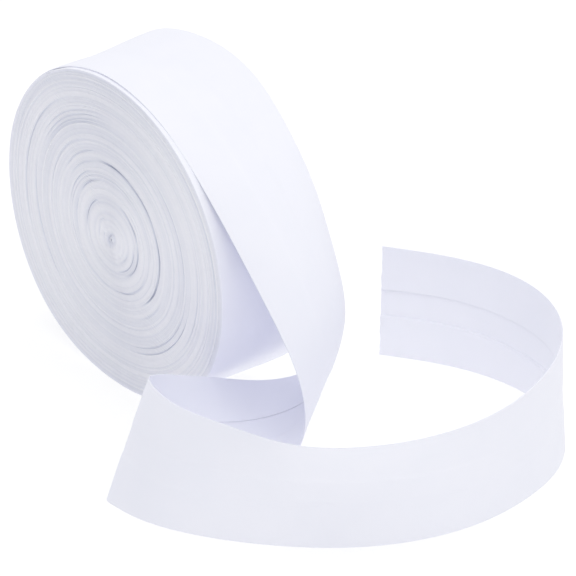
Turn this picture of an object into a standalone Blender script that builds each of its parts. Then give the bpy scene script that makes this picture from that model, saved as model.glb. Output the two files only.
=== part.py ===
"""A roll of folded bias tape standing on its rim, with its loose end looped on the floor.

The tape is a cotton strip with both long edges folded in to meet a narrow open channel. The
wound turns are one solid. The last 0.5 m leaves the roll over its top, falls and twists, turns
sharply on the floor and swings round to a square cut end, and is a sheet of its own.

Sizes are in millimetres and angles in degrees. X is the way the tape leaves the top of the
roll, Y is the roll's axis, and the origin is where the roll touches the floor.
"""

import math

import bmesh
import bpy
import numpy as np

MM = 0.001

# The folded tape: its width, and the two folded-in flaps beside the open channel
TAPE_WIDTH = 40.0
LOWER_FLAP = 15.0
UPPER_FLAP = 15.5
FLAP_THICKNESS = 1.3
CHANNEL_THICKNESS = 1.0

# The roll, a little off round: soft turns packed slightly square, and a foot that sags
ROLL_RADIUS = 56.5
SQUARENESS = 0.45
SAG = 0.15
SAG_SPREAD = 22.0
RIM_CORNER = 0.8
VALLEY_DEPTH = 0.7
VALLEY_EASE = 15.0
CORE_SHIFT_X = -1.1
CORE_SHIFT_Z = -2.0
SEAT_GAP = 0.3

# The outer turn ends where the tape leaves, so the rim steps down by one thickness there
LEAVE_ANGLE = -14.0
STEP_ANGLE = LEAVE_ANGLE - 2.0
STEP_HEIGHT = FLAP_THICKNESS + SEAT_GAP
FAR_EDGE_LIFT = 0.6

# Height of the roll's axis over the floor. The rim grows back by the step's height over one
# turn, so the foot is where about half of it is still missing, and is pressed a little flat
FOOT_DROP = STEP_HEIGHT * (180.0 + STEP_ANGLE) / 360.0
FOOT_PRESS = 0.15
AXIS_HEIGHT = ROLL_RADIUS - SQUARENESS - SAG - FOOT_DROP - FOOT_PRESS

# Turned mesh of the roll: its columns crowd together towards the step
ROLL_COLUMNS = 96
COLUMN_CROWDING = 0.7

# Rings on both faces where turns stand apart: radius, width, depth
FACE_GROOVES = (
    (14.0, 1.4, 0.6),
    (19.0, 1.4, 0.7),
    (26.0, 1.8, 1.1),
    (38.0, 1.4, 0.6),
    (42.0, 1.6, 0.7),
    (52.5, 1.2, 0.5),
)

# The pinched centre of the roll, which has no core: radius, depth
CORE_DIMPLE = ((0.0, 2.4), (2.5, 1.5), (5.5, 0.0))

# The loose end from the top of the roll, through the fall and the twist, to just past the sharp
# turn on the floor. Each row crosses the tape once, in the order that the tape runs:
# the edge that comes down to the floor (x, y, z), the other edge (x, y, z), and how far the
# middle of the tape stands out to its smooth side
FALL = (
    (-5.0, -20.0, 111.5, -5.0, 20.0, 112.6, -0.5),
    (7.5, -20.0, 111.5, 7.5, 20.0, 113.5, -1.0),
    (26.5, -19.5, 106.5, 26.0, 20.0, 109.3, -0.5),
    (42.5, -19.5, 96.0, 40.5, 20.0, 98.5, 1.5),
    (57.0, -18.0, 82.0, 52.5, 20.5, 84.0, 3.5),
    (69.5, -16.0, 66.0, 60.5, 21.0, 67.0, 5.0),
    (80.5, -13.5, 49.5, 66.0, 22.0, 49.5, 4.5),
    (87.5, -11.5, 32.0, 66.0, 21.5, 32.0, 2.5),
    (88.0, -12.5, 16.5, 60.5, 16.0, 20.5, 0.5),
    (83.0, -17.5, 6.5, 53.5, 7.5, 16.0, 0.0),
    (76.5, -29.0, 1.0, 49.5, -5.0, 18.5, 0.0),
    (68.0, -42.0, 0.0, 49.5, -18.0, 25.0, 0.5),
    (59.5, -52.5, 0.0, 49.0, -28.5, 29.5, 0.5),
    (53.5, -58.5, 0.0, 48.0, -37.0, 33.0, 0.5),
    (52.4, -61.8, 0.0, 48.4, -41.5, 34.7, 0.3),
    (53.3, -64.3, 0.0, 49.6, -43.9, 35.6, 0.2),
    (57.2, -65.2, 0.0, 55.0, -47.4, 37.2, 0.0),
    (68.0, -64.0, 0.0, 66.0, -50.5, 38.3, 1.5),
    (82.0, -58.5, 0.0, 80.0, -49.4, 38.8, 2.0),
    (96.0, -49.5, 0.0, 95.0, -45.4, 39.5, 0.5),
)

# The rest stands on its edge and swings round to the cut end. Each row: x and y of the edge on
# the floor, how far the top edge leans outward, and how far the middle stands out
FLOOR_LOOP = (
    (110.0, -37.5, 2.6, -2.5),
    (124.5, -20.5, 3.6, -3.0),
    (134.5, -0.5, 3.0, -1.5),
    (138.5, 21.0, 1.3, 0.0),
    (136.5, 41.0, -0.8, 0.5),
    (130.5, 58.0, -2.6, 0.5),
    (118.0, 71.5, -1.5, -0.5),
    (99.5, 79.0, 1.0, -1.0),
    (79.5, 78.0, 3.0, -1.0),
    (61.5, 71.0, 3.0, 0.5),
    (41.6, 57.7, 3.0, 0.0),
)

STATIONS_PER_ROW = 5

# Places across the tape, as shares of its width from the floor edge: close together beside
# both folds and on both banks of the channel
FLAP_SHARES = (0.0, 0.03, 0.12, 0.25)
BANK_WIDTH = 0.6

COTTON_WHITE = (0.78, 0.79, 0.84, 1.0)
COTTON_ROUGHNESS = 0.9


def clear_scene():
    for old in list(bpy.data.objects):
        bpy.data.objects.remove(old)


def make_collection(name):
    collection = bpy.data.collections.new(name)
    bpy.context.scene.collection.children.link(collection)
    return collection


def cotton(name):
    material = bpy.data.materials.new(name)
    material.use_nodes = True
    shader = material.node_tree.nodes["Principled BSDF"]
    shader.inputs["Base Color"].default_value = COTTON_WHITE
    shader.inputs["Roughness"].default_value = COTTON_ROUGHNESS
    shader.inputs["Metallic"].default_value = 0.0
    return material


def add_object(name, mesh, collection, parent):
    piece = bpy.data.objects.new(name, mesh)
    collection.objects.link(piece)
    piece.parent = parent
    mesh.materials.append(cotton(name + "_cotton"))
    return piece


def apply_modifiers(piece):
    """Turns the piece's live modifiers into plain mesh, so that its vertices can be moved."""
    depsgraph = bpy.context.evaluated_depsgraph_get()
    applied = bpy.data.meshes.new_from_object(piece.evaluated_get(depsgraph))
    piece.modifiers.clear()
    piece.data = applied


def face_profile():
    """Half of the roll's section on one face, from the axis to the rim: (radius, depth)."""
    points = list(CORE_DIMPLE)
    for radius, width, depth in FACE_GROOVES:
        points.append((radius - width / 2, 0.0))
        points.append((radius, depth))
        points.append((radius + width / 2, 0.0))
    points.append((ROLL_RADIUS - RIM_CORNER, 0.0))
    points.append((ROLL_RADIUS - RIM_CORNER * 0.3, RIM_CORNER * 0.3))
    return points


def rim_profile():
    """The rim across the tape, with the shallow valley over the channel: (radius, place)."""
    low_bank = LOWER_FLAP
    high_bank = TAPE_WIDTH - UPPER_FLAP
    return [
        (ROLL_RADIUS, RIM_CORNER),
        (ROLL_RADIUS, low_bank - 1.5),
        (ROLL_RADIUS - VALLEY_DEPTH, low_bank + 1.0),
        (ROLL_RADIUS - VALLEY_DEPTH, high_bank - 1.0),
        (ROLL_RADIUS, high_bank + 1.5),
        (ROLL_RADIUS, TAPE_WIDTH - RIM_CORNER),
    ]


def roll_mesh():
    """The closed outline of the roll's section at +X, from the near face down to the far one."""
    near = [(radius, TAPE_WIDTH / 2 - depth) for radius, depth in face_profile()]
    rim = [(radius, TAPE_WIDTH / 2 - place) for radius, place in rim_profile()]
    far = [(radius, -height) for radius, height in reversed(near)]
    outline = near + rim + far
    mesh = bpy.data.meshes.new("roll")
    vertices = [(radius * MM, 0.0, height * MM) for radius, height in outline]
    edges = [(index, index + 1) for index in range(len(vertices) - 1)]
    mesh.from_pydata(vertices, edges, [])
    return mesh


def bell(offset, spread):
    return math.exp(-((offset / spread) ** 2))


def off_round(angle):
    """How far the rim stands out from a true circle at this angle in radians from the top."""
    foot = math.degrees(math.remainder(angle - math.pi, math.tau))
    return -SQUARENESS * math.cos(4 * angle) - SAG * bell(foot, SAG_SPREAD)


def settle_roll(mesh):
    """Turns the upright round body on its side, steps its rim, and lets it sag on its foot."""
    step = math.radians(STEP_ANGLE)
    for vertex in mesh.vertices:
        x, z, height = (value / MM for value in vertex.co)
        radius = math.hypot(x, z)
        share = radius / ROLL_RADIUS
        # Clockwise angle from the top, as seen from the near face, crowded towards the step
        angle = math.atan2(x, z) - step
        angle += COLUMN_CROWDING * -math.sin(angle)
        angle += step
        turn = ((angle - step) / math.tau) % 1.0
        # The foot presses the valley of the rim flat
        foot = math.degrees(math.remainder(angle - math.pi, math.tau))
        if share > 0.9 and abs(height) < TAPE_WIDTH / 2 - RIM_CORNER * 1.5:
            radius += (ROLL_RADIUS - radius) * bell(foot, VALLEY_EASE)
        radius += off_round(angle) * share**2 - STEP_HEIGHT * (1.0 - turn) * share**4
        x = radius * math.sin(angle) + CORE_SHIFT_X * (1.0 - share)
        z = radius * math.cos(angle) + CORE_SHIFT_Z * (1.0 - share) + AXIS_HEIGHT
        vertex.co = (x * MM, -height * MM, max(z, 0.0) * MM)


def add_roll(collection, parent):
    roll = add_object("roll", roll_mesh(), collection, parent)
    screw = roll.modifiers.new("wound", "SCREW")
    screw.axis = "Z"
    screw.angle = math.tau
    screw.steps = ROLL_COLUMNS
    screw.render_steps = ROLL_COLUMNS
    screw.use_merge_vertices = True
    screw.merge_threshold = 0.00005
    apply_modifiers(roll)
    settle_roll(roll.data)
    roll.data.shade_smooth()
    roll.data.set_sharp_from_angle(angle=math.radians(40))
    return roll


def on_roll_row(angle):
    """A row of the loose end where it still lies on the roll, at this angle from the top."""
    angle = math.radians(angle)
    radius = ROLL_RADIUS + off_round(angle)
    x = radius * math.sin(angle)
    z = radius * math.cos(angle) + AXIS_HEIGHT
    return (x, -TAPE_WIDTH / 2, z, x, TAPE_WIDTH / 2, z + FAR_EDGE_LIFT, 0.0)


def floor_rows():
    """The rows of the floor loop in the form of the fall's rows."""
    path = np.array([(x, y) for x, y, _, _ in FLOOR_LOOP])
    before = np.vstack([FALL[-1][0:2], path[:-1]])
    after = np.vstack([path[1:], 2 * path[-1] - path[-2]])
    heading = after - before
    heading /= np.linalg.norm(heading, axis=1)[:, None]
    rows = []
    for (x, y, lean, belly), (along_x, along_y) in zip(FLOOR_LOOP, heading):
        # A tape that bows spans a little less than its width
        span = TAPE_WIDTH - 8 / 3 * belly**2 / TAPE_WIDTH
        top = math.sqrt(span**2 - lean**2)
        rows.append((x, y, 0.0, x + along_y * lean, y - along_x * lean, top, belly))
    return rows


def smooth_rows(rows, steps):
    """A smooth curve through the rows, with this many stations from each row to the next."""
    rows = np.array(rows)
    middles = (rows[:, 0:3] + rows[:, 3:6]) / 2
    gaps = np.linalg.norm(np.diff(middles, axis=0), axis=1)[:, None]
    slopes = np.diff(rows, axis=0) / gaps
    tangents = np.empty_like(rows)
    tangents[0] = slopes[0]
    tangents[-1] = slopes[-1]
    tangents[1:-1] = slopes[:-1] * gaps[1:] + slopes[1:] * gaps[:-1]
    tangents[1:-1] /= gaps[:-1] + gaps[1:]
    stations = []
    for index, gap in enumerate(gaps[:, 0]):
        for t in np.arange(steps) / steps:
            start = (1 + 2 * t) * (1 - t) ** 2 * rows[index]
            end = t * t * (3 - 2 * t) * rows[index + 1]
            leave = t * (1 - t) ** 2 * gap * tangents[index]
            arrive = t * t * (t - 1) * gap * tangents[index + 1]
            stations.append(start + end + leave + arrive)
    stations.append(rows[-1])
    return np.array(stations)


def shares_across():
    """Places across the tape, as shares of its width, and the share of full thickness there."""
    low_bank = LOWER_FLAP / TAPE_WIDTH
    high_bank = 1.0 - UPPER_FLAP / TAPE_WIDTH
    bank = BANK_WIDTH / TAPE_WIDTH
    thin = CHANNEL_THICKNESS / FLAP_THICKNESS
    lower = [(share, 1.0) for share in FLAP_SHARES]
    upper = [(1.0 - share, 1.0) for share in reversed(FLAP_SHARES)]
    channel = [
        (low_bank - bank, 1.0),
        (low_bank + bank, thin),
        ((low_bank + high_bank) / 2, thin),
        (high_bank - bank, thin),
        (high_bank + bank, 1.0),
    ]
    return lower + channel + upper


def loose_end_surface():
    """The smooth side of the loose end, as a grid of points: stations by places across."""
    rows = [on_roll_row(LEAVE_ANGLE), *FALL, *floor_rows()]
    stations = smooth_rows(rows, STATIONS_PER_ROW)
    floor_edge = stations[:, 0:3]
    other_edge = stations[:, 3:6]
    belly = stations[:, 6:7]
    across = other_edge - floor_edge
    along = np.gradient((floor_edge + other_edge) / 2, axis=0)
    outward = np.cross(along, across)
    outward /= np.linalg.norm(outward, axis=1)[:, None]
    columns = []
    for share, _ in shares_across():
        bow = 4 * share * (1 - share)
        columns.append(floor_edge + share * across + bow * belly * outward)
    return np.stack(columns, axis=1)


def loose_end_mesh():
    grid = loose_end_surface()
    shape = bmesh.new()
    rows = [[shape.verts.new(point * MM) for point in station] for station in grid]
    for here, ahead in zip(rows[:-1], rows[1:]):
        for place in range(len(here) - 1):
            corners = (here[place], ahead[place], ahead[place + 1], here[place + 1])
            shape.faces.new(corners)
    mesh = bpy.data.meshes.new("loose_end")
    shape.to_mesh(mesh)
    shape.free()
    return mesh


def add_loose_end(collection, parent):
    tape = add_object("loose_end", loose_end_mesh(), collection, parent)
    layers = tape.vertex_groups.new(name="layers")
    shares = shares_across()
    for vertex in tape.data.vertices:
        layers.add([vertex.index], shares[vertex.index % len(shares)][1], "REPLACE")
    cloth = tape.modifiers.new("cloth", "SOLIDIFY")
    cloth.thickness = FLAP_THICKNESS * MM
    cloth.offset = -1.0
    cloth.vertex_group = layers.name
    apply_modifiers(tape)
    for vertex in tape.data.vertices:
        vertex.co.z = max(vertex.co.z, 0.0)
    tape.data.shade_smooth()
    tape.data.set_sharp_from_angle(angle=math.radians(50))
    return tape


def main():
    clear_scene()
    collection = make_collection("roll of bias tape")
    foot = bpy.data.objects.new("bias_tape", None)
    collection.objects.link(foot)
    add_roll(collection, foot)
    add_loose_end(collection, foot)


main()
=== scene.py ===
# %% [markdown]
# # A roll of folded bias tape, with its end loose on the floor
# Bias tape is a strip of thin plain-weave cotton, cut at 45 degrees to its threads and pressed
# with both raw edges folded in towards a narrow open channel. Here about 25 m of it is wound on
# itself without a core, and the last half metre has come off the top, turned over once and swung
# round on its edge. The CAD model gives the place and the size of both; this file makes the cloth.

# %% Load the fixed model and keep its meshes
import math

import bpy
import numpy as np
from mathutils import Matrix, Vector


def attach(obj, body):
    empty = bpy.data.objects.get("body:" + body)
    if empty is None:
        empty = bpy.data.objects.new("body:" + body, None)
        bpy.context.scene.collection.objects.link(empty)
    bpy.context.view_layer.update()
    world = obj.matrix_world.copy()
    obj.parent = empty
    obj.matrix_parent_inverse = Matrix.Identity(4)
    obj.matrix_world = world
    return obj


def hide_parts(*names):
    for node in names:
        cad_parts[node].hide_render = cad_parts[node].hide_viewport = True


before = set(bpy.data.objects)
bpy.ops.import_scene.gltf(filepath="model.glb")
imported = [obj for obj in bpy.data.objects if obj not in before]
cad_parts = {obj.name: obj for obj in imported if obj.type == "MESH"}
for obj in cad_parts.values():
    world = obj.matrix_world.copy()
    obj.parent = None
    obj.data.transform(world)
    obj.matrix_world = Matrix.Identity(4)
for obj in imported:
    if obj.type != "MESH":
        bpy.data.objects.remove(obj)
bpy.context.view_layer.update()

# %% [markdown]
# ## Sizes
# Everything is worked out in millimetres and turned to metres when a mesh is made. The tape is
# 40 mm wide and folded from a 70.5 mm strip, and one wound turn is two layers of cotton thick,
# 0.41 mm, which is also what the fine rings on the face of the roll measure.

# %% Sizes of the tape and of the roll
MM = 0.001
TAPE_WIDTH = 40.0
LOWER_FLAP = 15.0
UPPER_FLAP = 15.5
CLOTH = 0.185
FLAP_AIR = 0.02
PITCH = 0.41

ROLL_RADIUS = 56.5
AXIS_HEIGHT = 55.02
LEAVE_ANGLE = -14.0
LAP = 20.0

# %% [markdown]
# ## Small helpers
# A soft thing has no straight lines and no true circles. One helper draws a smooth curve through
# a few known places, one gives the slow, seeded ups and downs that hand winding leaves, and one
# turns a grid of points into a closed skin: rows run along the tape, columns once round it.

# %% Smooth curves, ripples and skins
def spline(at, values, places):
    """The curve of least bend through the values known at these places, read at other ones."""
    at = np.asarray(at, dtype=float)
    values = np.asarray(values, dtype=float).reshape(len(at), -1)
    gap = np.diff(at)
    slope = np.diff(values, axis=0) / gap[:, None]
    matrix = np.eye(len(at))
    change = np.zeros_like(values)
    for i in range(1, len(at) - 1):
        matrix[i, i - 1:i + 2] = gap[i - 1], 2 * (gap[i - 1] + gap[i]), gap[i]
        change[i] = 6 * (slope[i] - slope[i - 1])
    bend = np.linalg.solve(matrix, change)
    places = np.asarray(places, dtype=float)
    i = np.clip(np.searchsorted(at, places, side="right") - 1, 0, len(at) - 2)
    h = gap[i][:, None]
    t = (places - at[i])[:, None]
    back = h - t
    curve = (bend[i] * back**3 + bend[i + 1] * t**3) / (6 * h)
    curve += (values[i] / h - bend[i] * h / 6) * back
    curve += (values[i + 1] / h - bend[i + 1] * h / 6) * t
    return curve


def ripples(places, wave, height, seed):
    """Slow random ups and downs, one about every wave, along the given places."""
    steps = (np.asarray(places) - np.min(places)) / wave
    knots = np.random.default_rng(seed).uniform(-height, height, int(steps.max()) + 3)
    low = np.floor(steps).astype(int)
    t = steps - low
    t = t * t * (3 - 2 * t)
    return knots[low] * (1 - t) + knots[low + 1] * t


def bell(offset, spread):
    return np.exp(-((offset / spread) ** 2))


def ease(value, start, end):
    """Nought before start, one after end, and smooth between them."""
    t = np.clip((value - start) / (end - start), 0.0, 1.0)
    return t * t * (3 - 2 * t)


def skin(name, grid, along, across, lid):
    """A closed mesh object over a grid of points, with its cloth coordinates as a UV map."""
    rows, columns = grid.shape[:2]
    index = np.arange(rows * columns).reshape(rows, columns)
    ahead = np.roll(index, -1, axis=1)
    quads = np.stack([index[:-1], index[1:], ahead[1:], ahead[:-1]], axis=-1).reshape(-1, 4)
    first = [[int(index[0, k]) for k in corners] for corners in lid]
    last = [[int(index[-1, k]) for k in reversed(corners)] for corners in lid]
    mesh = bpy.data.meshes.new(name)
    mesh.from_pydata((grid.reshape(-1, 3) * MM).tolist(), [], quads.tolist() + first + last)
    cloth = np.stack([np.broadcast_to(along[:, None], (rows, columns)), across], axis=-1)
    corner = np.empty(len(mesh.loops), dtype=np.int64)
    mesh.loops.foreach_get("vertex_index", corner)
    layer = mesh.uv_layers.new(name="cloth")
    layer.data.foreach_set("uv", (cloth.reshape(-1, 2)[corner] * MM).astype(np.float32).ravel())
    mesh.shade_smooth()
    piece = bpy.data.objects.new(name, mesh)
    bpy.context.scene.collection.objects.link(piece)
    print(name, "triangles:", 2 * len(quads) + sum(len(c) - 2 for c in first + last))
    return piece


print("half way between 0, 1 and 0:", spline([0, 1, 2], [0, 1, 0], [0.5, 1.0]).ravel().round(3))

# %% [markdown]
# ## The shape of the wound roll
# Hand-wound turns aren't true circles: this roll is a little square, flat where it stands, and its
# centre lies below the middle. Angles run clockwise from the top as seen from the near face. The
# outline is a few measured offsets with a smooth closed curve through them, and every inner turn
# takes a smaller share of it, so that all turns nest.

# %% Outline (angle, offset) and centre of the turns (radius, x, z)
OFF_ROUND = (
    (-170, -0.95), (-152, 0.15), (-135, 0.65), (-112, 0.0), (-90, -0.5), (-64, -0.1), (-40, 0.55),
    (-14, 0.3), (18, 0.5), (50, 0.7), (88, 0.4), (122, 0.8), (150, 0.15), (170, -0.95),
)
CENTRE = ((0, -1.1, -2.0), (14, -0.6, -1.0), (25, -0.7, -0.2), (40, -0.2, 0.0), (57, 0.0, 0.0))


def off_round(radius, angle):
    """How far the turn of this radius stands out from a true circle, at angles in degrees."""
    knots = [(at + turn, out) for turn in (-360, 0, 360) for at, out in OFF_ROUND]
    at, out = np.array(knots).T
    outer_turn = spline(at, out, np.mod(np.asarray(angle) + 180, 360) - 180)[:, 0]
    return outer_turn * (radius / ROLL_RADIUS) ** 2


def turn_centre(radius):
    """The middle, x and z, of the turn of this radius."""
    knots = np.array(CENTRE)
    return spline(knots[:, 0], knots[:, 1:], radius)


def on_roll(radius, angle, push=0.0):
    """Points x and z on the turn of this nominal radius, pushed outward by a further distance."""
    middle = turn_centre(radius)
    out = radius + off_round(radius, angle) + push
    turn = np.radians(angle)
    return middle[:, 0] + out * np.sin(turn), middle[:, 1] + out * np.cos(turn) + AXIS_HEIGHT


rim_x, rim_z = on_roll(np.full(180, ROLL_RADIUS), np.arange(0.0, 360.0, 2.0))
print("outline, mm: lowest", rim_z.min().round(2), "highest", rim_z.max().round(2))

# %% [markdown]
# ## The wound turns
# What shows of them is their folded edges: about 136 fine ridges on each face, drawn a little in
# or out by the winding, with darker slits where two turns stand apart. A flat disc with painted
# rings would look printed, so the strip is really wound: one flat section, rounded at both folds
# and sunk over the open channel, is carried along the spiral. Every turn has the same number of
# steps, so each station lies right over the one a turn before it and the turns can nest.

# %% Stations along the spiral
INNER_RADIUS = 0.55
STEPS_PER_TURN = 72
RIM_START = 38.0

wound_turns = -1 - LAP / 360
first_turn = (INNER_RADIUS - ROLL_RADIUS) / PITCH
steps = int((wound_turns - first_turn) * STEPS_PER_TURN)
all_turns = wound_turns - np.arange(steps, -1, -1) / STEPS_PER_TURN
radius = ROLL_RADIUS + PITCH * all_turns
angle = LEAVE_ANGLE + 360.0 * all_turns
length = np.cumsum(math.tau * radius / STEPS_PER_TURN)
print("stations:", len(all_turns), "wound length, m:", round(length[-1] / 1000, 2))

# %% [markdown]
# The slits between turns are long arcs, each between two angles and from one radius to another.
# At a slit the turns part a little and their folds lie deeper.

# %% Slits between the turns: angles from and to, radius there, depth
SLITS = (
    (-14, 138, 26.0, 24.7, 0.85), (-95, -30, 13.4, 13.4, 0.46), (-118, -62, 18.7, 18.9, 0.38),
    (-62, -20, 18.9, 19.6, 0.42), (-180, -90, 20.2, 21.2, 0.3), (-90, 95, 21.2, 20.6, 0.27),
    (20, 75, 14.4, 13.9, 0.61), (75, 150, 13.9, 13.3, 0.53), (85, 165, 11.5, 11.5, 0.46),
    (28, 85, 16.4, 15.7, 0.3), (112, 178, 19.0, 20.0, 0.32), (35, 100, 37.5, 37.3, 0.27),
    (105, 165, 38.4, 38.5, 0.34), (108, 168, 40.6, 40.7, 0.34), (-135, -72, 40.6, 41.8, 0.46),
    (-62, 0, 39.4, 40.0, 0.3), (-62, -5, 38.5, 38.7, 0.27), (-62, 0, 40.7, 41.5, 0.34),
    (-58, 5, 42.5, 43.0, 0.3), (-110, -35, 47.2, 46.9, 0.3), (70, 130, 44.2, 43.9, 0.27),
    (-80, -20, 53.7, 54.2, 0.23), (35, 95, 52.7, 52.9, 0.23), (-75, -25, 32.8, 33.1, 0.27),
    (-66, -12, 27.8, 29.3, 0.3), (116, 154, 28.9, 29.0, 0.3), (-160, -60, 3.9, 4.0, 0.38),
    (-110, -60, 6.4, 6.5, 0.3), (100, 150, 8.5, 8.5, 0.27), (-165, 5, 1.5, 1.7, 0.46),
    (130, 178, 1.3, 1.4, 0.38), (-70, -20, 7.5, 7.6, 0.23), (-75, -25, 22.3, 22.6, 0.27),
    (-60, -10, 25.2, 25.6, 0.27),
)
SLIT_WIDTH = 0.34
SLIT_FADE = (6, 18)
SLIT_PART = 0.09
PART_NEAR = 0.15
PART_FAR = 3


def slits(radius, angle):
    """How far each place on the spiral lies sunk in a slit, and is pushed aside by it."""
    sunk = np.zeros_like(radius)
    aside = np.zeros_like(radius)
    turn = np.mod(angle + 180, 360) - 180
    before, within = SLIT_FADE
    for start, end, start_radius, end_radius, depth in SLITS:
        share = (turn - start) / (end - start)
        there = ease(turn, start - before, start + within)
        there = there * (1 - ease(turn, end - within, end + before))
        away = radius - (start_radius + share * (end_radius - start_radius))
        sunk += depth * there * bell(away, SLIT_WIDTH)
        aside += (SLIT_PART * depth * there
                  * np.tanh(away / PART_NEAR) * np.exp(-np.abs(away) / PART_FAR))
    return sunk, aside


sunk, aside = slits(radius, angle)
print("deepest slit, mm:", sunk.max().round(2))

# %% [markdown]
# The folds also wander by a tenth of a millimetre from turn to turn, and the innermost turns,
# which were rolled up between the fingers, are pinched to an oval and lie a little deeper.

# %% Where the folds of each turn lie
VALLEY_DEPTH = 0.65
VALLEY_SPAN = (3.0, 17.0, 18.0, 37.0)
VALLEY_FADE = 6
NEAR_DIP, NEAR_DIP_SPREAD = 0.3, 2.6
FAR_DIP, FAR_DIP_SPREAD = 0.9, 3.5
FAR_SLIT_SHARE = 0.7
FAR_SLIT_SHIFT = 900
SHORT_WANDER, LONG_WANDER = 0.04, 0.11
TURN_WANDER, TURN_WAVE = 0.13, 0.8
PINCH, PINCH_SPREAD, PINCH_ANGLE = 0.8, 4.0, 35.0


def roll_valley(place):
    """How much of the valley's depth there is at a place across, from the near edge."""
    start, deep, deep_end, end = VALLEY_SPAN
    return ease(place, start, deep) * (1 - ease(place, deep_end, end))


def wandering(fold, short_wave, long_wave, seed):
    """The fold with its small ups and downs, along the tape and from turn to turn."""
    along = ripples(length, short_wave, SHORT_WANDER, seed)
    fold = fold + (along + ripples(length, long_wave, LONG_WANDER, seed + 1))
    return fold + ripples(radius, TURN_WAVE, TURN_WANDER, seed + 2)


near_fold = -TAPE_WIDTH / 2 + sunk + NEAR_DIP * bell(radius, NEAR_DIP_SPREAD)
near_fold = wandering(near_fold, 60.0, 300.0, seed=1)
far_fold = TAPE_WIDTH / 2 - FAR_SLIT_SHARE * np.roll(sunk, FAR_SLIT_SHIFT)
far_fold = wandering(far_fold - FAR_DIP * bell(radius, FAR_DIP_SPREAD), 63.0, 270.0, seed=4)

push = aside + ripples(length, 90.0, 0.012, 7)
pinch = PINCH * bell(radius, PINCH_SPREAD) * ease(radius, 0.0, 3.0)
push += pinch * np.cos(2 * np.radians(angle - PINCH_ANGLE))
valley = VALLEY_DEPTH * (radius / ROLL_RADIUS) ** VALLEY_FADE
print("near folds, mm:", near_fold.min().round(2), "to", near_fold.max().round(2))

# %% [markdown]
# The section runs once round the flattened strip: near fold, outer side with its shallow valley,
# far fold, and back on the inner side. STL files thin a piece of more than 200,000 triangles, so
# the strip is made as two pieces that meet between two turns.

# %% Thickness of each turn, up to the turn below it
LEAST_TURN, FIRST_TURN, FULL_TURN = 0.3, 0.35, 0.43
TURN_GAP = 0.001

outward_way = np.stack([np.sin(np.radians(angle)), np.cos(np.radians(angle))], axis=1)
stands = (turn_centre(radius) * outward_way).sum(axis=1) + radius + push
stands += off_round(radius, angle)
thickness = np.full_like(radius, FIRST_TURN)
thickness[STEPS_PER_TURN:] = stands[STEPS_PER_TURN:] - stands[:-STEPS_PER_TURN] - TURN_GAP
thickness = np.clip(thickness, LEAST_TURN, FULL_TURN)
valley_below = VALLEY_DEPTH * (np.maximum(radius - PITCH, 0) / ROLL_RADIUS) ** VALLEY_FADE
print("turn thickness, mm:", thickness.min().round(3), "to", thickness.max().round(3))

# %% Wind the strip
FOLD_ROUND = 0.2
FOOT_CLEARANCE = 0.05
VALLEY_PLACES = (9.0, 16.0, 22.0, 31.0)


def wound_section():
    """Places across (station by column) and depths under the outer side, once round."""
    flat = np.ones_like(radius)
    banks = [(place - TAPE_WIDTH / 2) * flat for place in VALLEY_PLACES]
    shares = [float(roll_valley(place)) for place in VALLEY_PLACES]
    outer_depths = [share * valley for share in shares]
    inner_depths = [thickness + share * valley_below for share in reversed(shares)]
    section = [(near_fold, 0.5 * thickness), (near_fold + FOLD_ROUND, 0 * flat)]
    section += zip(banks, outer_depths)
    section += [(far_fold - FOLD_ROUND, 0 * flat), (far_fold, 0.5 * thickness),
                (far_fold - FOLD_ROUND, thickness)]
    section += zip(banks[::-1], inner_depths)
    section.append((near_fold + FOLD_ROUND, thickness))
    places, depths = zip(*section)
    return np.stack(places, axis=1), np.stack(depths, axis=1)


places, depths = wound_section()
columns = [on_roll(radius, angle, push - depth) for depth in depths.T]
wound_grid = np.stack([[x for x, _ in columns], places.T, [z for _, z in columns]], axis=-1)
wound_grid = wound_grid.transpose(1, 0, 2)
wound_grid[..., 2] = np.maximum(wound_grid[..., 2], FOOT_CLEARANCE)
cut = int(np.searchsorted(radius, RIM_START))
# Corners of the section, by column, that close the two ends of a piece
WOUND_LID = [(0, 1, 13), (1, 2, 12, 13), (2, 3, 11, 12), (3, 4, 10, 11), (4, 5, 9, 10),
             (5, 6, 8, 9), (6, 7, 8)]
wound_core = skin("wound_core", wound_grid[:cut], length[:cut], places[:cut], WOUND_LID)
wound_rim = skin("wound_rim", wound_grid[cut - 1:], length[cut - 1:], places[cut - 1:], WOUND_LID)

# %% [markdown]
# ## The way of the loose tape
# The last turn and the loose end are one length of tape. Each row below crosses it once: the edge
# that comes down to the floor, the other edge, and how far the middle stands out to the smooth
# side. The rows are those of the CAD solid, moved by up to 3 mm to lie as in the photo.

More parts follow.
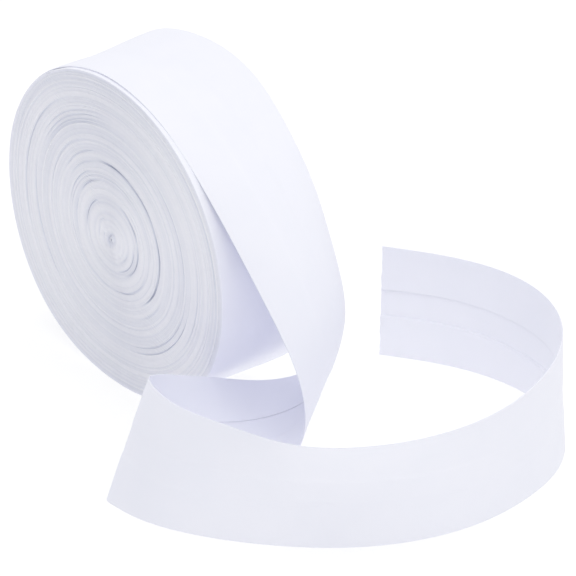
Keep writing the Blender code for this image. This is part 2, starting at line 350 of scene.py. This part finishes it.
# %% Rows of the fall and of the loop on the floor
FALL = (
    (-5.0, -18.5, 111.7, -5.0, 20.8, 112.3, -0.5),
    (7.5, -18.7, 111.7, 7.5, 20.7, 113.2, -1.0),
    (26.0, -18.5, 106.1, 25.5, 20.6, 108.9, -0.5),
    (41.2, -17.9, 95.0, 39.2, 21.0, 97.5, 1.5),
    (55.0, -16.4, 80.4, 50.5, 22.1, 82.4, 3.5),
    (67.8, -14.6, 64.7, 58.8, 22.4, 65.7, 5.0),
    (79.3, -12.5, 48.6, 64.8, 23.0, 48.6, 4.5),
    (87.0, -11.1, 31.6, 65.5, 21.9, 31.6, 2.5),
    (88.0, -12.5, 16.5, 60.5, 16.0, 20.5, 0.5),
    (83.0, -17.5, 6.5, 53.5, 7.5, 16.0, 0.0),
    (76.5, -29.0, 1.0, 49.5, -5.0, 18.5, 0.0),
    (68.0, -42.0, 0.0, 49.5, -18.0, 25.0, 0.5),
    (59.5, -52.5, 0.0, 49.0, -28.5, 29.5, 0.5),
    (53.5, -58.5, 0.0, 48.0, -37.0, 33.0, 0.5),
    (52.4, -61.8, 0.0, 48.4, -41.5, 34.7, 0.3),
    (53.3, -64.3, 0.0, 49.6, -43.9, 35.6, 0.2),
    (57.2, -65.2, 0.0, 55.0, -47.4, 37.2, 0.0),
    (68.0, -64.0, 0.0, 66.0, -50.5, 38.3, 1.5),
    (82.0, -58.5, 0.0, 80.0, -49.4, 38.8, 2.0),
    (96.0, -49.5, 0.0, 95.0, -45.4, 39.5, 0.5),
)
FLOOR_LOOP = (
    (110.0, -37.5, 2.6, -2.5), (124.5, -20.5, 3.6, -3.0), (134.5, -0.5, 3.0, -1.5),
    (138.5, 21.0, 1.3, 0.0), (136.5, 41.0, -0.8, 0.5), (130.5, 58.0, -2.6, 0.5),
    (118.0, 71.5, -1.5, -0.5), (99.5, 79.0, 1.0, -1.0), (79.5, 78.0, 3.0, -1.0),
    (61.5, 71.0, 3.0, 0.5), (41.6, 57.7, 3.0, 0.0),
)
SHARP_TURN = 15
FAR_EDGE_LIFT = 0.5
SET_BACK = 1.5


def roll_rows(start, end, step):
    """Rows of the last turn where it lies on the roll, with its far edge starting to lift."""
    angle = np.arange(start, end + step / 2, step)
    turns = (angle - LEAVE_ANGLE) / 360.0
    x, z = on_roll(ROLL_RADIUS + PITCH * turns, angle)
    lift = FAR_EDGE_LIFT * ease(angle, LEAVE_ANGLE - 70, LEAVE_ANGLE)
    back = SET_BACK * ease(angle, LEAVE_ANGLE - 65, LEAVE_ANGLE)
    side = TAPE_WIDTH / 2
    return np.stack([x, back - side, z, x, side + back / 2, z + lift, 0 * x], axis=1)


def floor_rows():
    """The rows of the floor loop in the form of the fall's rows."""
    path = np.array([row[:2] for row in FLOOR_LOOP])
    heading = np.vstack([path[1:], 2 * path[-1] - path[-2]])
    heading = heading - np.vstack([FALL[-1][0:2], path[:-1]])
    heading /= np.linalg.norm(heading, axis=1)[:, None]
    rows = []
    for (x, y, lean, belly), (along_x, along_y) in zip(FLOOR_LOOP, heading):
        span = TAPE_WIDTH - 8 / 3 * belly**2 / TAPE_WIDTH
        top = math.sqrt(span**2 - lean**2)
        rows.append((x, y, 0.0, x + along_y * lean, y - along_x * lean, top, belly))
    return np.array(rows)


wound_rows = roll_rows(LEAVE_ANGLE - 360.0 - LAP, LEAVE_ANGLE, 10.0)
rows = np.vstack([wound_rows, FALL, floor_rows()])
middles = (rows[:, 0:3] + rows[:, 3:6]) / 2
row_at = np.concatenate([[0.0], np.cumsum(np.linalg.norm(np.diff(middles, axis=0), axis=1))])
leaves_at = row_at[len(wound_rows) - 1]
print("last turn, mm:", leaves_at.round(1), "loose end, mm:", (row_at[-1] - leaves_at).round(1))

# %% [markdown]
# A curve through the rows gives a station about every 1.5 mm, and closer together at the sharp
# turn on the floor. The rows were read to half a millimetre, which would leave faint bumps in a
# surface this smooth, so the free part is evened out a little, all but the sharp turn.

# %% Stations of the tape
STATION_STEP = 1.5
TURN_LENGTH = 7.0
CROWDING = 3.0
BELL_AREA = 1.8
EVENING_PASSES = 24
EVEN_FROM, EVEN_FULLY = 5, 30

turn_at = row_at[len(wound_rows) + SHARP_TURN]
wound_count = round(leaves_at / STATION_STEP)
free_length = np.linspace(leaves_at, row_at[-1], 4000)
crowd = np.cumsum(1 + CROWDING * bell(free_length - turn_at, TURN_LENGTH))
crowd = (crowd - crowd[0]) / (crowd[-1] - crowd[0])
free_count = round((row_at[-1] - leaves_at + CROWDING * BELL_AREA * TURN_LENGTH) / STATION_STEP)
at = np.concatenate([
    np.linspace(0, leaves_at, wound_count, endpoint=False),
    np.interp(np.linspace(0, 1, free_count + 1), crowd, free_length),
])
stations = spline(row_at, rows, at)
even = stations.copy()
for _ in range(EVENING_PASSES):
    even[1:-1] = (even[:-2] + 2 * even[1:-1] + even[2:]) / 4
free = ease(at, leaves_at + EVEN_FROM, leaves_at + EVEN_FULLY)
free = free * (1 - bell(at - turn_at, 2 * TURN_LENGTH))
stations += free[:, None] * (even - stations)
start_edge = stations[:, 0:3]
across = stations[:, 3:6] - start_edge
bow = stations[:, 6]
heading = np.gradient(start_edge + across / 2, axis=0)
outward = np.cross(heading, across)
outward /= np.linalg.norm(outward, axis=1)[:, None]
across_unit = across / np.linalg.norm(across, axis=1)[:, None]
print("stations:", len(stations), "of them on the roll:", wound_count)

# %% [markdown]
# ## The folded cloth
# Across the tape the cloth runs from one raw edge, over the smooth outer side, to the other raw
# edge. Both folds are pressed flat, and the outer side sinks slightly between the flaps, which is
# why two faint lines run along it. The section is drawn as one line through the middle of the
# cloth, then given the cloth's thickness on both sides: the first half of the closed section is
# the right side of the cloth and the second half is its wrong side.

# %% Middle line of the cloth across the tape: place across, depth under the smooth side
FOLD_STEPS = 5
FLAP_PLACES = (15.0, 14.8, 14.5, 14.1, 13.5, 12.6, 11.0, 8.5, 6.0, 3.5, 1.8, 0.8)
BANKS = np.array([-2.6, -1.6, -0.9, -0.35, 0.0, 0.35, 0.9, 1.6, 2.6])


def middle_line():
    """Place across and depth of the middle of the cloth, from raw edge to raw edge."""
    top = CLOTH / 2
    under = 1.5 * CLOTH + FLAP_AIR
    bend = (under - top) / 2
    edge = bend + CLOTH / 2
    low_flap = np.array(FLAP_PLACES) * LOWER_FLAP / FLAP_PLACES[0]
    high_flap = TAPE_WIDTH - low_flap[::-1] * UPPER_FLAP / LOWER_FLAP
    turn = np.linspace(0, math.pi, FOLD_STEPS)
    low_turn = np.stack([edge - bend * np.sin(turn), top + bend * (1 + np.cos(turn))], axis=1)
    high_turn = low_turn[::-1] * (-1, 1) + (TAPE_WIDTH, 0)
    middle = np.concatenate([
        [0.8, 1.8, 3.5, 6.0, 8.5, 10.8], LOWER_FLAP + BANKS, [19.8],
        TAPE_WIDTH - UPPER_FLAP + BANKS, [29.0, 31.5, 34.0, 36.5, 38.2, 39.2],
    ])
    return np.vstack([
        np.stack([low_flap, np.full_like(low_flap, under)], axis=1), low_turn,
        np.stack([middle, np.full_like(middle, top)], axis=1), high_turn,
        np.stack([high_flap, np.full_like(high_flap, under)], axis=1),
    ]), len(low_flap), len(middle)


line, flap_points, middle_points = middle_line()
outer = slice(flap_points + FOLD_STEPS, flap_points + FOLD_STEPS + middle_points)
step = np.diff(line, axis=0)
strip_place = np.concatenate([[0.0], np.cumsum(np.hypot(step[:, 0], step[:, 1]))])
tangent = np.gradient(line, axis=0)
tangent /= np.hypot(tangent[:, 0], tangent[:, 1])[:, None]
# In places across and heights outward, a quarter turn from the way of the line
side = np.stack([tangent[:, 1], tangent[:, 0]], axis=1)

# %% [markdown]
# On the roll the valley is wide and soft, because 136 channels lie over each other. On the loose
# end only the faint impression of the flaps is left. The lower flap's raw edge rolls over and
# back to the cloth behind it, and its round catches the light. The upper flap lifts off a little
# towards its raw edge, more in some places than in others, and most at the cut end.

# %% How the section changes along the tape
LOOSE_FROM, LOOSE_FULLY = -10, 40
FREE_SINK, SINK_EASE = 0.2, 1.1
HIGH_LIFT, HIGH_LIFT_WANDER = 0.2, 0.08
END_LIFT, END_LENGTH = 0.35, 25.0
OPENING_CURVE = 2.5
LOW_EDGE_ROLL = (-0.16, 0.14, 0.38, 0.5, 0.42, 0.22, 0.06)

loose = ease(at, leaves_at + LOOSE_FROM, leaves_at + LOOSE_FULLY)
to_end = at[-1] - at
high_lift = loose * (HIGH_LIFT + ripples(at, 45.0, HIGH_LIFT_WANDER, 12))
high_lift += END_LIFT * bell(to_end, END_LENGTH)
low_roll = np.zeros(len(line))
low_roll[:len(LOW_EDGE_ROLL)] = LOW_EDGE_ROLL

sink = np.zeros(len(line))
place = line[outer, 0]
sink[outer] = ease(place, LOWER_FLAP - SINK_EASE, LOWER_FLAP + SINK_EASE)
upper_raw = TAPE_WIDTH - UPPER_FLAP
sink[outer] *= 1 - ease(place, upper_raw - SINK_EASE, upper_raw + SINK_EASE)
high_open = np.zeros(len(line))
high_open[-flap_points:] = ((TAPE_WIDTH - line[-flap_points:, 0]) / UPPER_FLAP)
high_open **= OPENING_CURVE
depth = line[:, 1] + np.outer(FREE_SINK * loose, sink)
depth += np.outer(VALLEY_DEPTH * (1 - loose), roll_valley(line[:, 0]))
depth += np.outer(loose, low_roll) + np.outer(high_lift, high_open)
print("flap lift, mm:", high_lift.min().round(2), "to", high_lift.max().round(2))

# %% [markdown]
# The section is then carried along the stations. The last few rows are pulled out and in along
# the tape where the scissors left a slightly ragged edge.

# %% Carry the folded section along the tape
LOW_EDGE = (0.35, 0.75)
FINE_RAG, FINE_RAG_WAVE = 0.16, 1.3
COARSE_RAG, COARSE_RAG_WAVE = 0.12, 9.0
RAG_LENGTH = 2.2


def carried(side_sign):
    """Points on one side of the cloth: station by place along the middle line."""
    half = CLOTH / 2 * np.ones(len(line))
    half[:2] *= LOW_EDGE
    place = line[:, 0] + side_sign * side[:, 0] * half
    height = -depth + side_sign * side[:, 1] * half
    share = place / TAPE_WIDTH
    slope = 4 * np.outer(bow, 1 - 2 * share) / TAPE_WIDTH
    bowed = 4 * np.outer(bow, share * (1 - share))
    points = start_edge[:, None] + share[None, :, None] * across[:, None]
    points = points + bowed[..., None] * outward[:, None]
    normal = outward[:, None] - slope[..., None] * across_unit[:, None]
    normal /= np.linalg.norm(normal, axis=2)[..., None]
    return points + height[..., None] * normal


right_side = carried(1.0)
wrong_side = carried(-1.0)
tape_grid = np.concatenate([right_side, wrong_side[:, ::-1]], axis=1)
strip_across = np.concatenate([strip_place, strip_place[::-1]])
ragged = ripples(strip_across, FINE_RAG_WAVE, FINE_RAG, 21)
ragged = ragged + ripples(strip_across, COARSE_RAG_WAVE, COARSE_RAG, 22)
end_heading = heading[-1] / np.linalg.norm(heading[-1])
pulled = bell(to_end, RAG_LENGTH)[:, None] * ragged[None, :]
tape_grid = tape_grid + pulled[..., None] * end_heading
tape_grid[..., 2] = np.maximum(tape_grid[..., 2], 0.0)

count = len(line)
TAPE_LID = [(k, k + 1, 2 * count - 2 - k, 2 * count - 1 - k) for k in range(count - 1)]
strip_across = np.broadcast_to(strip_across, tape_grid.shape[:2])
last = wound_count + 1
last_turn = skin("last_turn", tape_grid[:last], at[:last], strip_across[:last], TAPE_LID)
rest = slice(last - 1, None)
loose_end = skin("loose_end_cloth", tape_grid[rest], at[rest], strip_across[rest], TAPE_LID)

# %% [markdown]
# The last turn and the loose end meet where the tape leaves the roll. Both get the normals of the
# whole tape, so that no seam shows where one piece ends and the other starts.

# %% Shared normals along the tape
round_way = np.roll(tape_grid, -1, axis=1) - np.roll(tape_grid, 1, axis=1)
long_way = np.gradient(tape_grid, axis=0)
normals = np.cross(long_way, round_way)
normals /= np.linalg.norm(normals, axis=2)[..., None]
for piece, part in ((last_turn, normals[:last]), (loose_end, normals[last - 1:])):
    piece.data.normals_split_custom_set_from_vertices(part.reshape(-1, 3).tolist())
facing = (normals[:, outer] * outward[:, None]).sum(2)
print("mean outward share of the smooth side:", facing.mean())

# %% [markdown]
# ## Bleached cotton, plain weave, cut on the bias
# The cloth is thin and closely woven, bleached to a slightly blue white, and matt with a faint
# fuzz at grazing angles. Threads run at 45 degrees to the edges. Real threads are 0.27 mm apart,
# less than a pixel of the picture, so they are drawn 0.5 mm apart to show at all.

# %% Colour and node helpers
def srgb(hex_code):
    """A colour that is written as on the screen, turned to the linear values of a shader."""
    values = [int(hex_code[i:i + 2], 16) / 255 for i in (1, 3, 5)]
    linear = [v / 12.92 if v <= 0.04045 else ((v + 0.055) / 1.055) ** 2.4 for v in values]
    return (*linear, 1.0)


def new_material(name):
    material = bpy.data.materials.new(name)
    material.use_nodes = True
    return material, material.node_tree.nodes["Principled BSDF"]


def node(material, kind, links=(), **settings):
    """Adds a node: settings are its options, or inputs by name; links are (input, output)."""
    tree = material.node_tree
    made = tree.nodes.new(kind)
    for key, value in settings.items():
        if hasattr(made, key):
            setattr(made, key, value)
        else:
            made.inputs[key.replace("_", " ")].default_value = value
    for target, source in links:
        tree.links.new(source, made.inputs[target])
    return made


TAPE_TINTS = (srgb("#F2F3FB"), srgb("#F6F6FD"))
FOLD_TINTS = (srgb("#F5F5FA"), srgb("#F9F9FD"))
print("bleached white, linear:", [round(v, 3) for v in TAPE_TINTS[0]])

# %% The weave as a height, from the cloth's own coordinates
THREAD_STEP_MM = 0.5
COTTON_IOR = 1.46


def bias_weave(material, step_mm):
    """The height of a plain weave at 45 degrees: over and under threads by turns."""
    cloth = node(material, "ShaderNodeUVMap", uv_map="cloth")
    turned = node(material, "ShaderNodeMapping", [("Vector", cloth.outputs["UV"])])
    turned.inputs["Rotation"].default_value = (0.0, 0.0, math.radians(45))
    turned.inputs["Scale"].default_value = (math.pi / (step_mm * MM),) * 3
    thread = node(material, "ShaderNodeSeparateXYZ", [("Vector", turned.outputs["Vector"])])
    waves = []
    for way in ("X", "Y"):
        waves.append(node(material, "ShaderNodeMath", [(0, thread.outputs[way])], operation="SINE"))
    parity = node(material, "ShaderNodeMath", [(0, waves[0].outputs[0]), (1, waves[1].outputs[0])],
                  operation="MULTIPLY")
    top = node(material, "ShaderNodeMapRange", [("Value", parity.outputs[0])])
    top.inputs["From Min"].default_value = -0.3
    top.inputs["From Max"].default_value = 0.3
    warp = node(material, "ShaderNodeMath", [(0, waves[0].outputs[0])], operation="ABSOLUTE")
    weft = node(material, "ShaderNodeMath", [(0, waves[1].outputs[0])], operation="ABSOLUTE")
    height = node(material, "ShaderNodeMix", [
        ("Factor", top.outputs["Result"]), ("A", weft.outputs[0]), ("B", warp.outputs[0]),
    ])
    return cloth, height


def matt_cotton(material, shader, height, strength, depth_mm, roughness, shine, sheen):
    """The relief of a height, and the soft and nearly shineless answer of cotton to light."""
    relief = node(material, "ShaderNodeBump", [("Height", height)])
    relief.inputs["Strength"].default_value = strength
    relief.inputs["Distance"].default_value = depth_mm * MM
    material.node_tree.links.new(relief.outputs["Normal"], shader.inputs["Normal"])
    shader.inputs["Roughness"].default_value = roughness
    shader.inputs["IOR"].default_value = COTTON_IOR
    shader.inputs["Specular IOR Level"].default_value = shine
    shader.inputs["Sheen Weight"].default_value = sheen
    shader.inputs["Sheen Roughness"].default_value = 0.5


# %% Cotton of the tape
def cotton_cloth():
    """Bleached bias-cut cotton: matt, faintly mottled, woven, with painted shade between its
    threads and a soft sheen.
    """
    material, shader = new_material("bleached_cotton_plain_weave")
    tree = material.node_tree
    cloth, height = bias_weave(material, THREAD_STEP_MM)
    uneven = node(material, "ShaderNodeTexNoise", [("Vector", cloth.outputs["UV"])],
                  Scale=900.0, Detail=3.0)
    cloudy = node(material, "ShaderNodeTexNoise", [("Vector", cloth.outputs["UV"])],
                  Scale=70.0, Detail=2.0)
    tint = node(material, "ShaderNodeMix", [("Factor", cloudy.outputs["Fac"])], data_type="RGBA")
    tint.inputs["A"].default_value, tint.inputs["B"].default_value = TAPE_TINTS
    # Painted shade: the cotton is drawn up to 3.5% darker where the weave lies low between its
    # threads
    weave_shade = node(material, "ShaderNodeMapRange", [("Value", height.outputs["Result"])])
    weave_shade.inputs["To Min"].default_value = 0.965
    weave_shade.inputs["To Max"].default_value = 1.0
    shade = node(material, "ShaderNodeVectorMath", [
        (0, tint.outputs["Result"]), ("Scale", weave_shade.outputs["Result"])], operation="SCALE")
    tree.links.new(shade.outputs["Vector"], shader.inputs["Base Color"])
    raised = node(material, "ShaderNodeMath", [
        (0, uneven.outputs["Fac"]), (1, height.outputs["Result"])], operation="MULTIPLY")
    matt_cotton(material, shader, raised.outputs[0], strength=0.25, depth_mm=0.06,
                roughness=0.88, shine=0.25, sheen=0.12)
    return material


cloth_finish = cotton_cloth()
print("nodes:", len(cloth_finish.node_tree.nodes))

# %% [markdown]
# ## The folded edges of the turns
# On the faces the same cotton shows only its pressed folds. Along a fold the threads cross the
# edge at a slant, so it looks like fine twisted cord. Lint settles on the ridges, and painted shade
# in the slits makes the cotton greyer the deeper it lies under the face, which is 20 mm from the
# middle.

# %% Cotton of the wound folds
# Depths under the face between which the painted shade of the slits fades, and its colours
RIDGE_MM = 19.95
SLIT_FLOOR_MM = 18.55
SLIT_SHADE_STOPS = ((0.45, "#C8CBD8"), (0.75, "#EEF0F5"), (1.0, "#FFFFFF"))
DEEPEST_SLIT_SHADE = "#A2A6B8"


def cotton_folds():
    """The same cotton where it is folded: slanting threads along each ridge, painted shade in
    slits.
    """
    material, shader = new_material("bleached_cotton_folded_edge")
    tree = material.node_tree
    cloth, height = bias_weave(material, THREAD_STEP_MM)
    place = node(material, "ShaderNodeTexCoord")
    lint = node(material, "ShaderNodeTexNoise", [("Vector", place.outputs["Object"])],
                Scale=420.0, Detail=3.0)
    tint = node(material, "ShaderNodeMix", [("Factor", lint.outputs["Fac"])], data_type="RGBA")
    tint.inputs["A"].default_value, tint.inputs["B"].default_value = FOLD_TINTS
    # Painted shade: the cotton is drawn greyer the deeper it lies under the face, darkest at the
    # slit floors
    spot = node(material, "ShaderNodeSeparateXYZ", [("Vector", place.outputs["Object"])])
    from_middle = node(material, "ShaderNodeMath", [(0, spot.outputs["Y"])], operation="ABSOLUTE")
    lies = node(material, "ShaderNodeMapRange", [("Value", from_middle.outputs[0])])
    lies.inputs["From Min"].default_value = SLIT_FLOOR_MM * MM
    lies.inputs["From Max"].default_value = RIDGE_MM * MM
    slit_shade = node(material, "ShaderNodeValToRGB", [("Fac", lies.outputs["Result"])])
    ramp = slit_shade.color_ramp.elements
    ramp.remove(ramp[1])
    ramp[0].color = srgb(DEEPEST_SLIT_SHADE)
    for share, hex_code in SLIT_SHADE_STOPS:
        ramp.new(share).color = srgb(hex_code)
    slit_shaded = node(material, "ShaderNodeMix", [
        ("A", tint.outputs["Result"]), ("B", slit_shade.outputs["Color"])],
        data_type="RGBA", blend_type="MULTIPLY", Factor=1.0)
    tree.links.new(slit_shaded.outputs["Result"], shader.inputs["Base Color"])
    matt_cotton(material, shader, height.outputs["Result"], strength=0.3, depth_mm=0.05,
                roughness=0.9, shine=0.2, sheen=0.1)
    return material


fold_finish = cotton_folds()
for piece, finish in ((wound_core, fold_finish), (wound_rim, fold_finish),
                      (last_turn, cloth_finish), (loose_end, cloth_finish)):
    piece.data.materials.append(finish)

# The outermost wound turn shows its smooth side beside the loose tape
SMOOTH_STEPS = STEPS_PER_TURN + 4
wound_rim.data.materials.append(cloth_finish)
smooth_from = (len(radius) - cut - SMOOTH_STEPS) * wound_grid.shape[1]
shown = np.zeros(len(wound_rim.data.polygons), dtype=np.int32)
shown[smooth_from:] = 1
wound_rim.data.polygons.foreach_set("material_index", shown)
print("finishes:", cloth_finish.name, fold_finish.name)

# %% [markdown]
# ## Floor, light and camera
# White goods are photographed on a bright white table so that they stand out only by their own
# soft shades. The floor is plain and nearly white and glows a little, as a light table does, the
# sky is a soft pale dome, one large soft box overhead gives the form, and weaker ones on the
# camera's side, on both sides and behind keep the shades light.

# %% The floor
bpy.ops.mesh.primitive_plane_add(size=8.0, location=(0.0, 0.0, 0.0))
floor = bpy.context.object
floor.name = "floor"
table_white, table_shader = new_material("matt_white_acrylic_light_table")
table_shader.inputs["Base Color"].default_value = srgb("#B4B5B8")
table_shader.inputs["Roughness"].default_value = 0.95
table_shader.inputs["Specular IOR Level"].default_value = 0.0
table_shader.inputs["Emission Color"].default_value = (1.0, 0.99, 0.95, 1.0)
table_shader.inputs["Emission Strength"].default_value = 0.60
floor.data.materials.append(table_white)
print("floor:", [round(side, 1) for side in floor.dimensions], "m")

# %% The light
scene = bpy.context.scene
sky = bpy.data.worlds.new("studio")
sky.use_nodes = True
sky.node_tree.nodes["Background"].inputs["Color"].default_value = (0.90, 0.92, 1.0, 1.0)
sky.node_tree.nodes["Background"].inputs["Strength"].default_value = 0.66
scene.world = sky
scene.view_settings.view_transform = "Standard"
scene.view_settings.look = "None"
scene.cycles.max_bounces = 16
scene.cycles.diffuse_bounces = 10


OBJECT_MIDDLE = (0.04, 0.0, 0.05)
LAMP_WHITE = (1.0, 0.98, 0.88)


def soft_box(name, place, size, power):
    """A square lamp, size in metres and power in watts, that faces the object."""
    lamp = bpy.data.lights.new(name, "AREA")
    lamp.shape = "SQUARE"
    lamp.size = size
    lamp.energy = power
    lamp.color = LAMP_WHITE
    box = bpy.data.objects.new(name, lamp)
    scene.collection.objects.link(box)
    box.location = place
    direction = Vector(OBJECT_MIDDLE) - box.location
    box.rotation_euler = direction.to_track_quat("-Z", "Y").to_euler()


soft_box("soft_box_above", (0.05, 0.0, 1.8), 1.5, 11.0)
soft_box("soft_box_camera_side", (1.6, -0.75, 0.3), 0.8, 2.6)
soft_box("soft_box_left", (-1.5, 0.0, 0.4), 0.8, 2.2)
soft_box("soft_box_behind", (0.05, 1.2, 1.3), 0.8, 3.6)
soft_box("soft_box_right", (1.3, 0.1, 1.3), 0.8, 1.5)

# %% The camera
camera_data = bpy.data.cameras.new("camera")
camera_data.sensor_width = 36.0
camera_data.lens = 312.5
camera_data.clip_end = 20.0
camera = bpy.data.objects.new("camera", camera_data)
scene.collection.objects.link(camera)
camera.matrix_world = Matrix((
    (0.63113, -0.40115, 0.66389, 1.10839),
    (0.77568, 0.32640, -0.54018, -0.84914),
    (0.0, 0.85588, 0.51717, 0.87135),
    (0.0, 0.0, 0.0, 1.0),
))
scene.camera = camera
print("camera to origin, m:", round(camera.location.length, 3))

# %% [markdown]
# ## Placing the pieces
# Each piece rides on the one body and takes the place of its CAD solid.

# %% Ride, replace and finish
for piece in (wound_core, wound_rim, last_turn):
    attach(piece, "root")
    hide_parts("roll")
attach(loose_end, "root")
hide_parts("loose_end")

bpy.context.view_layer.update()
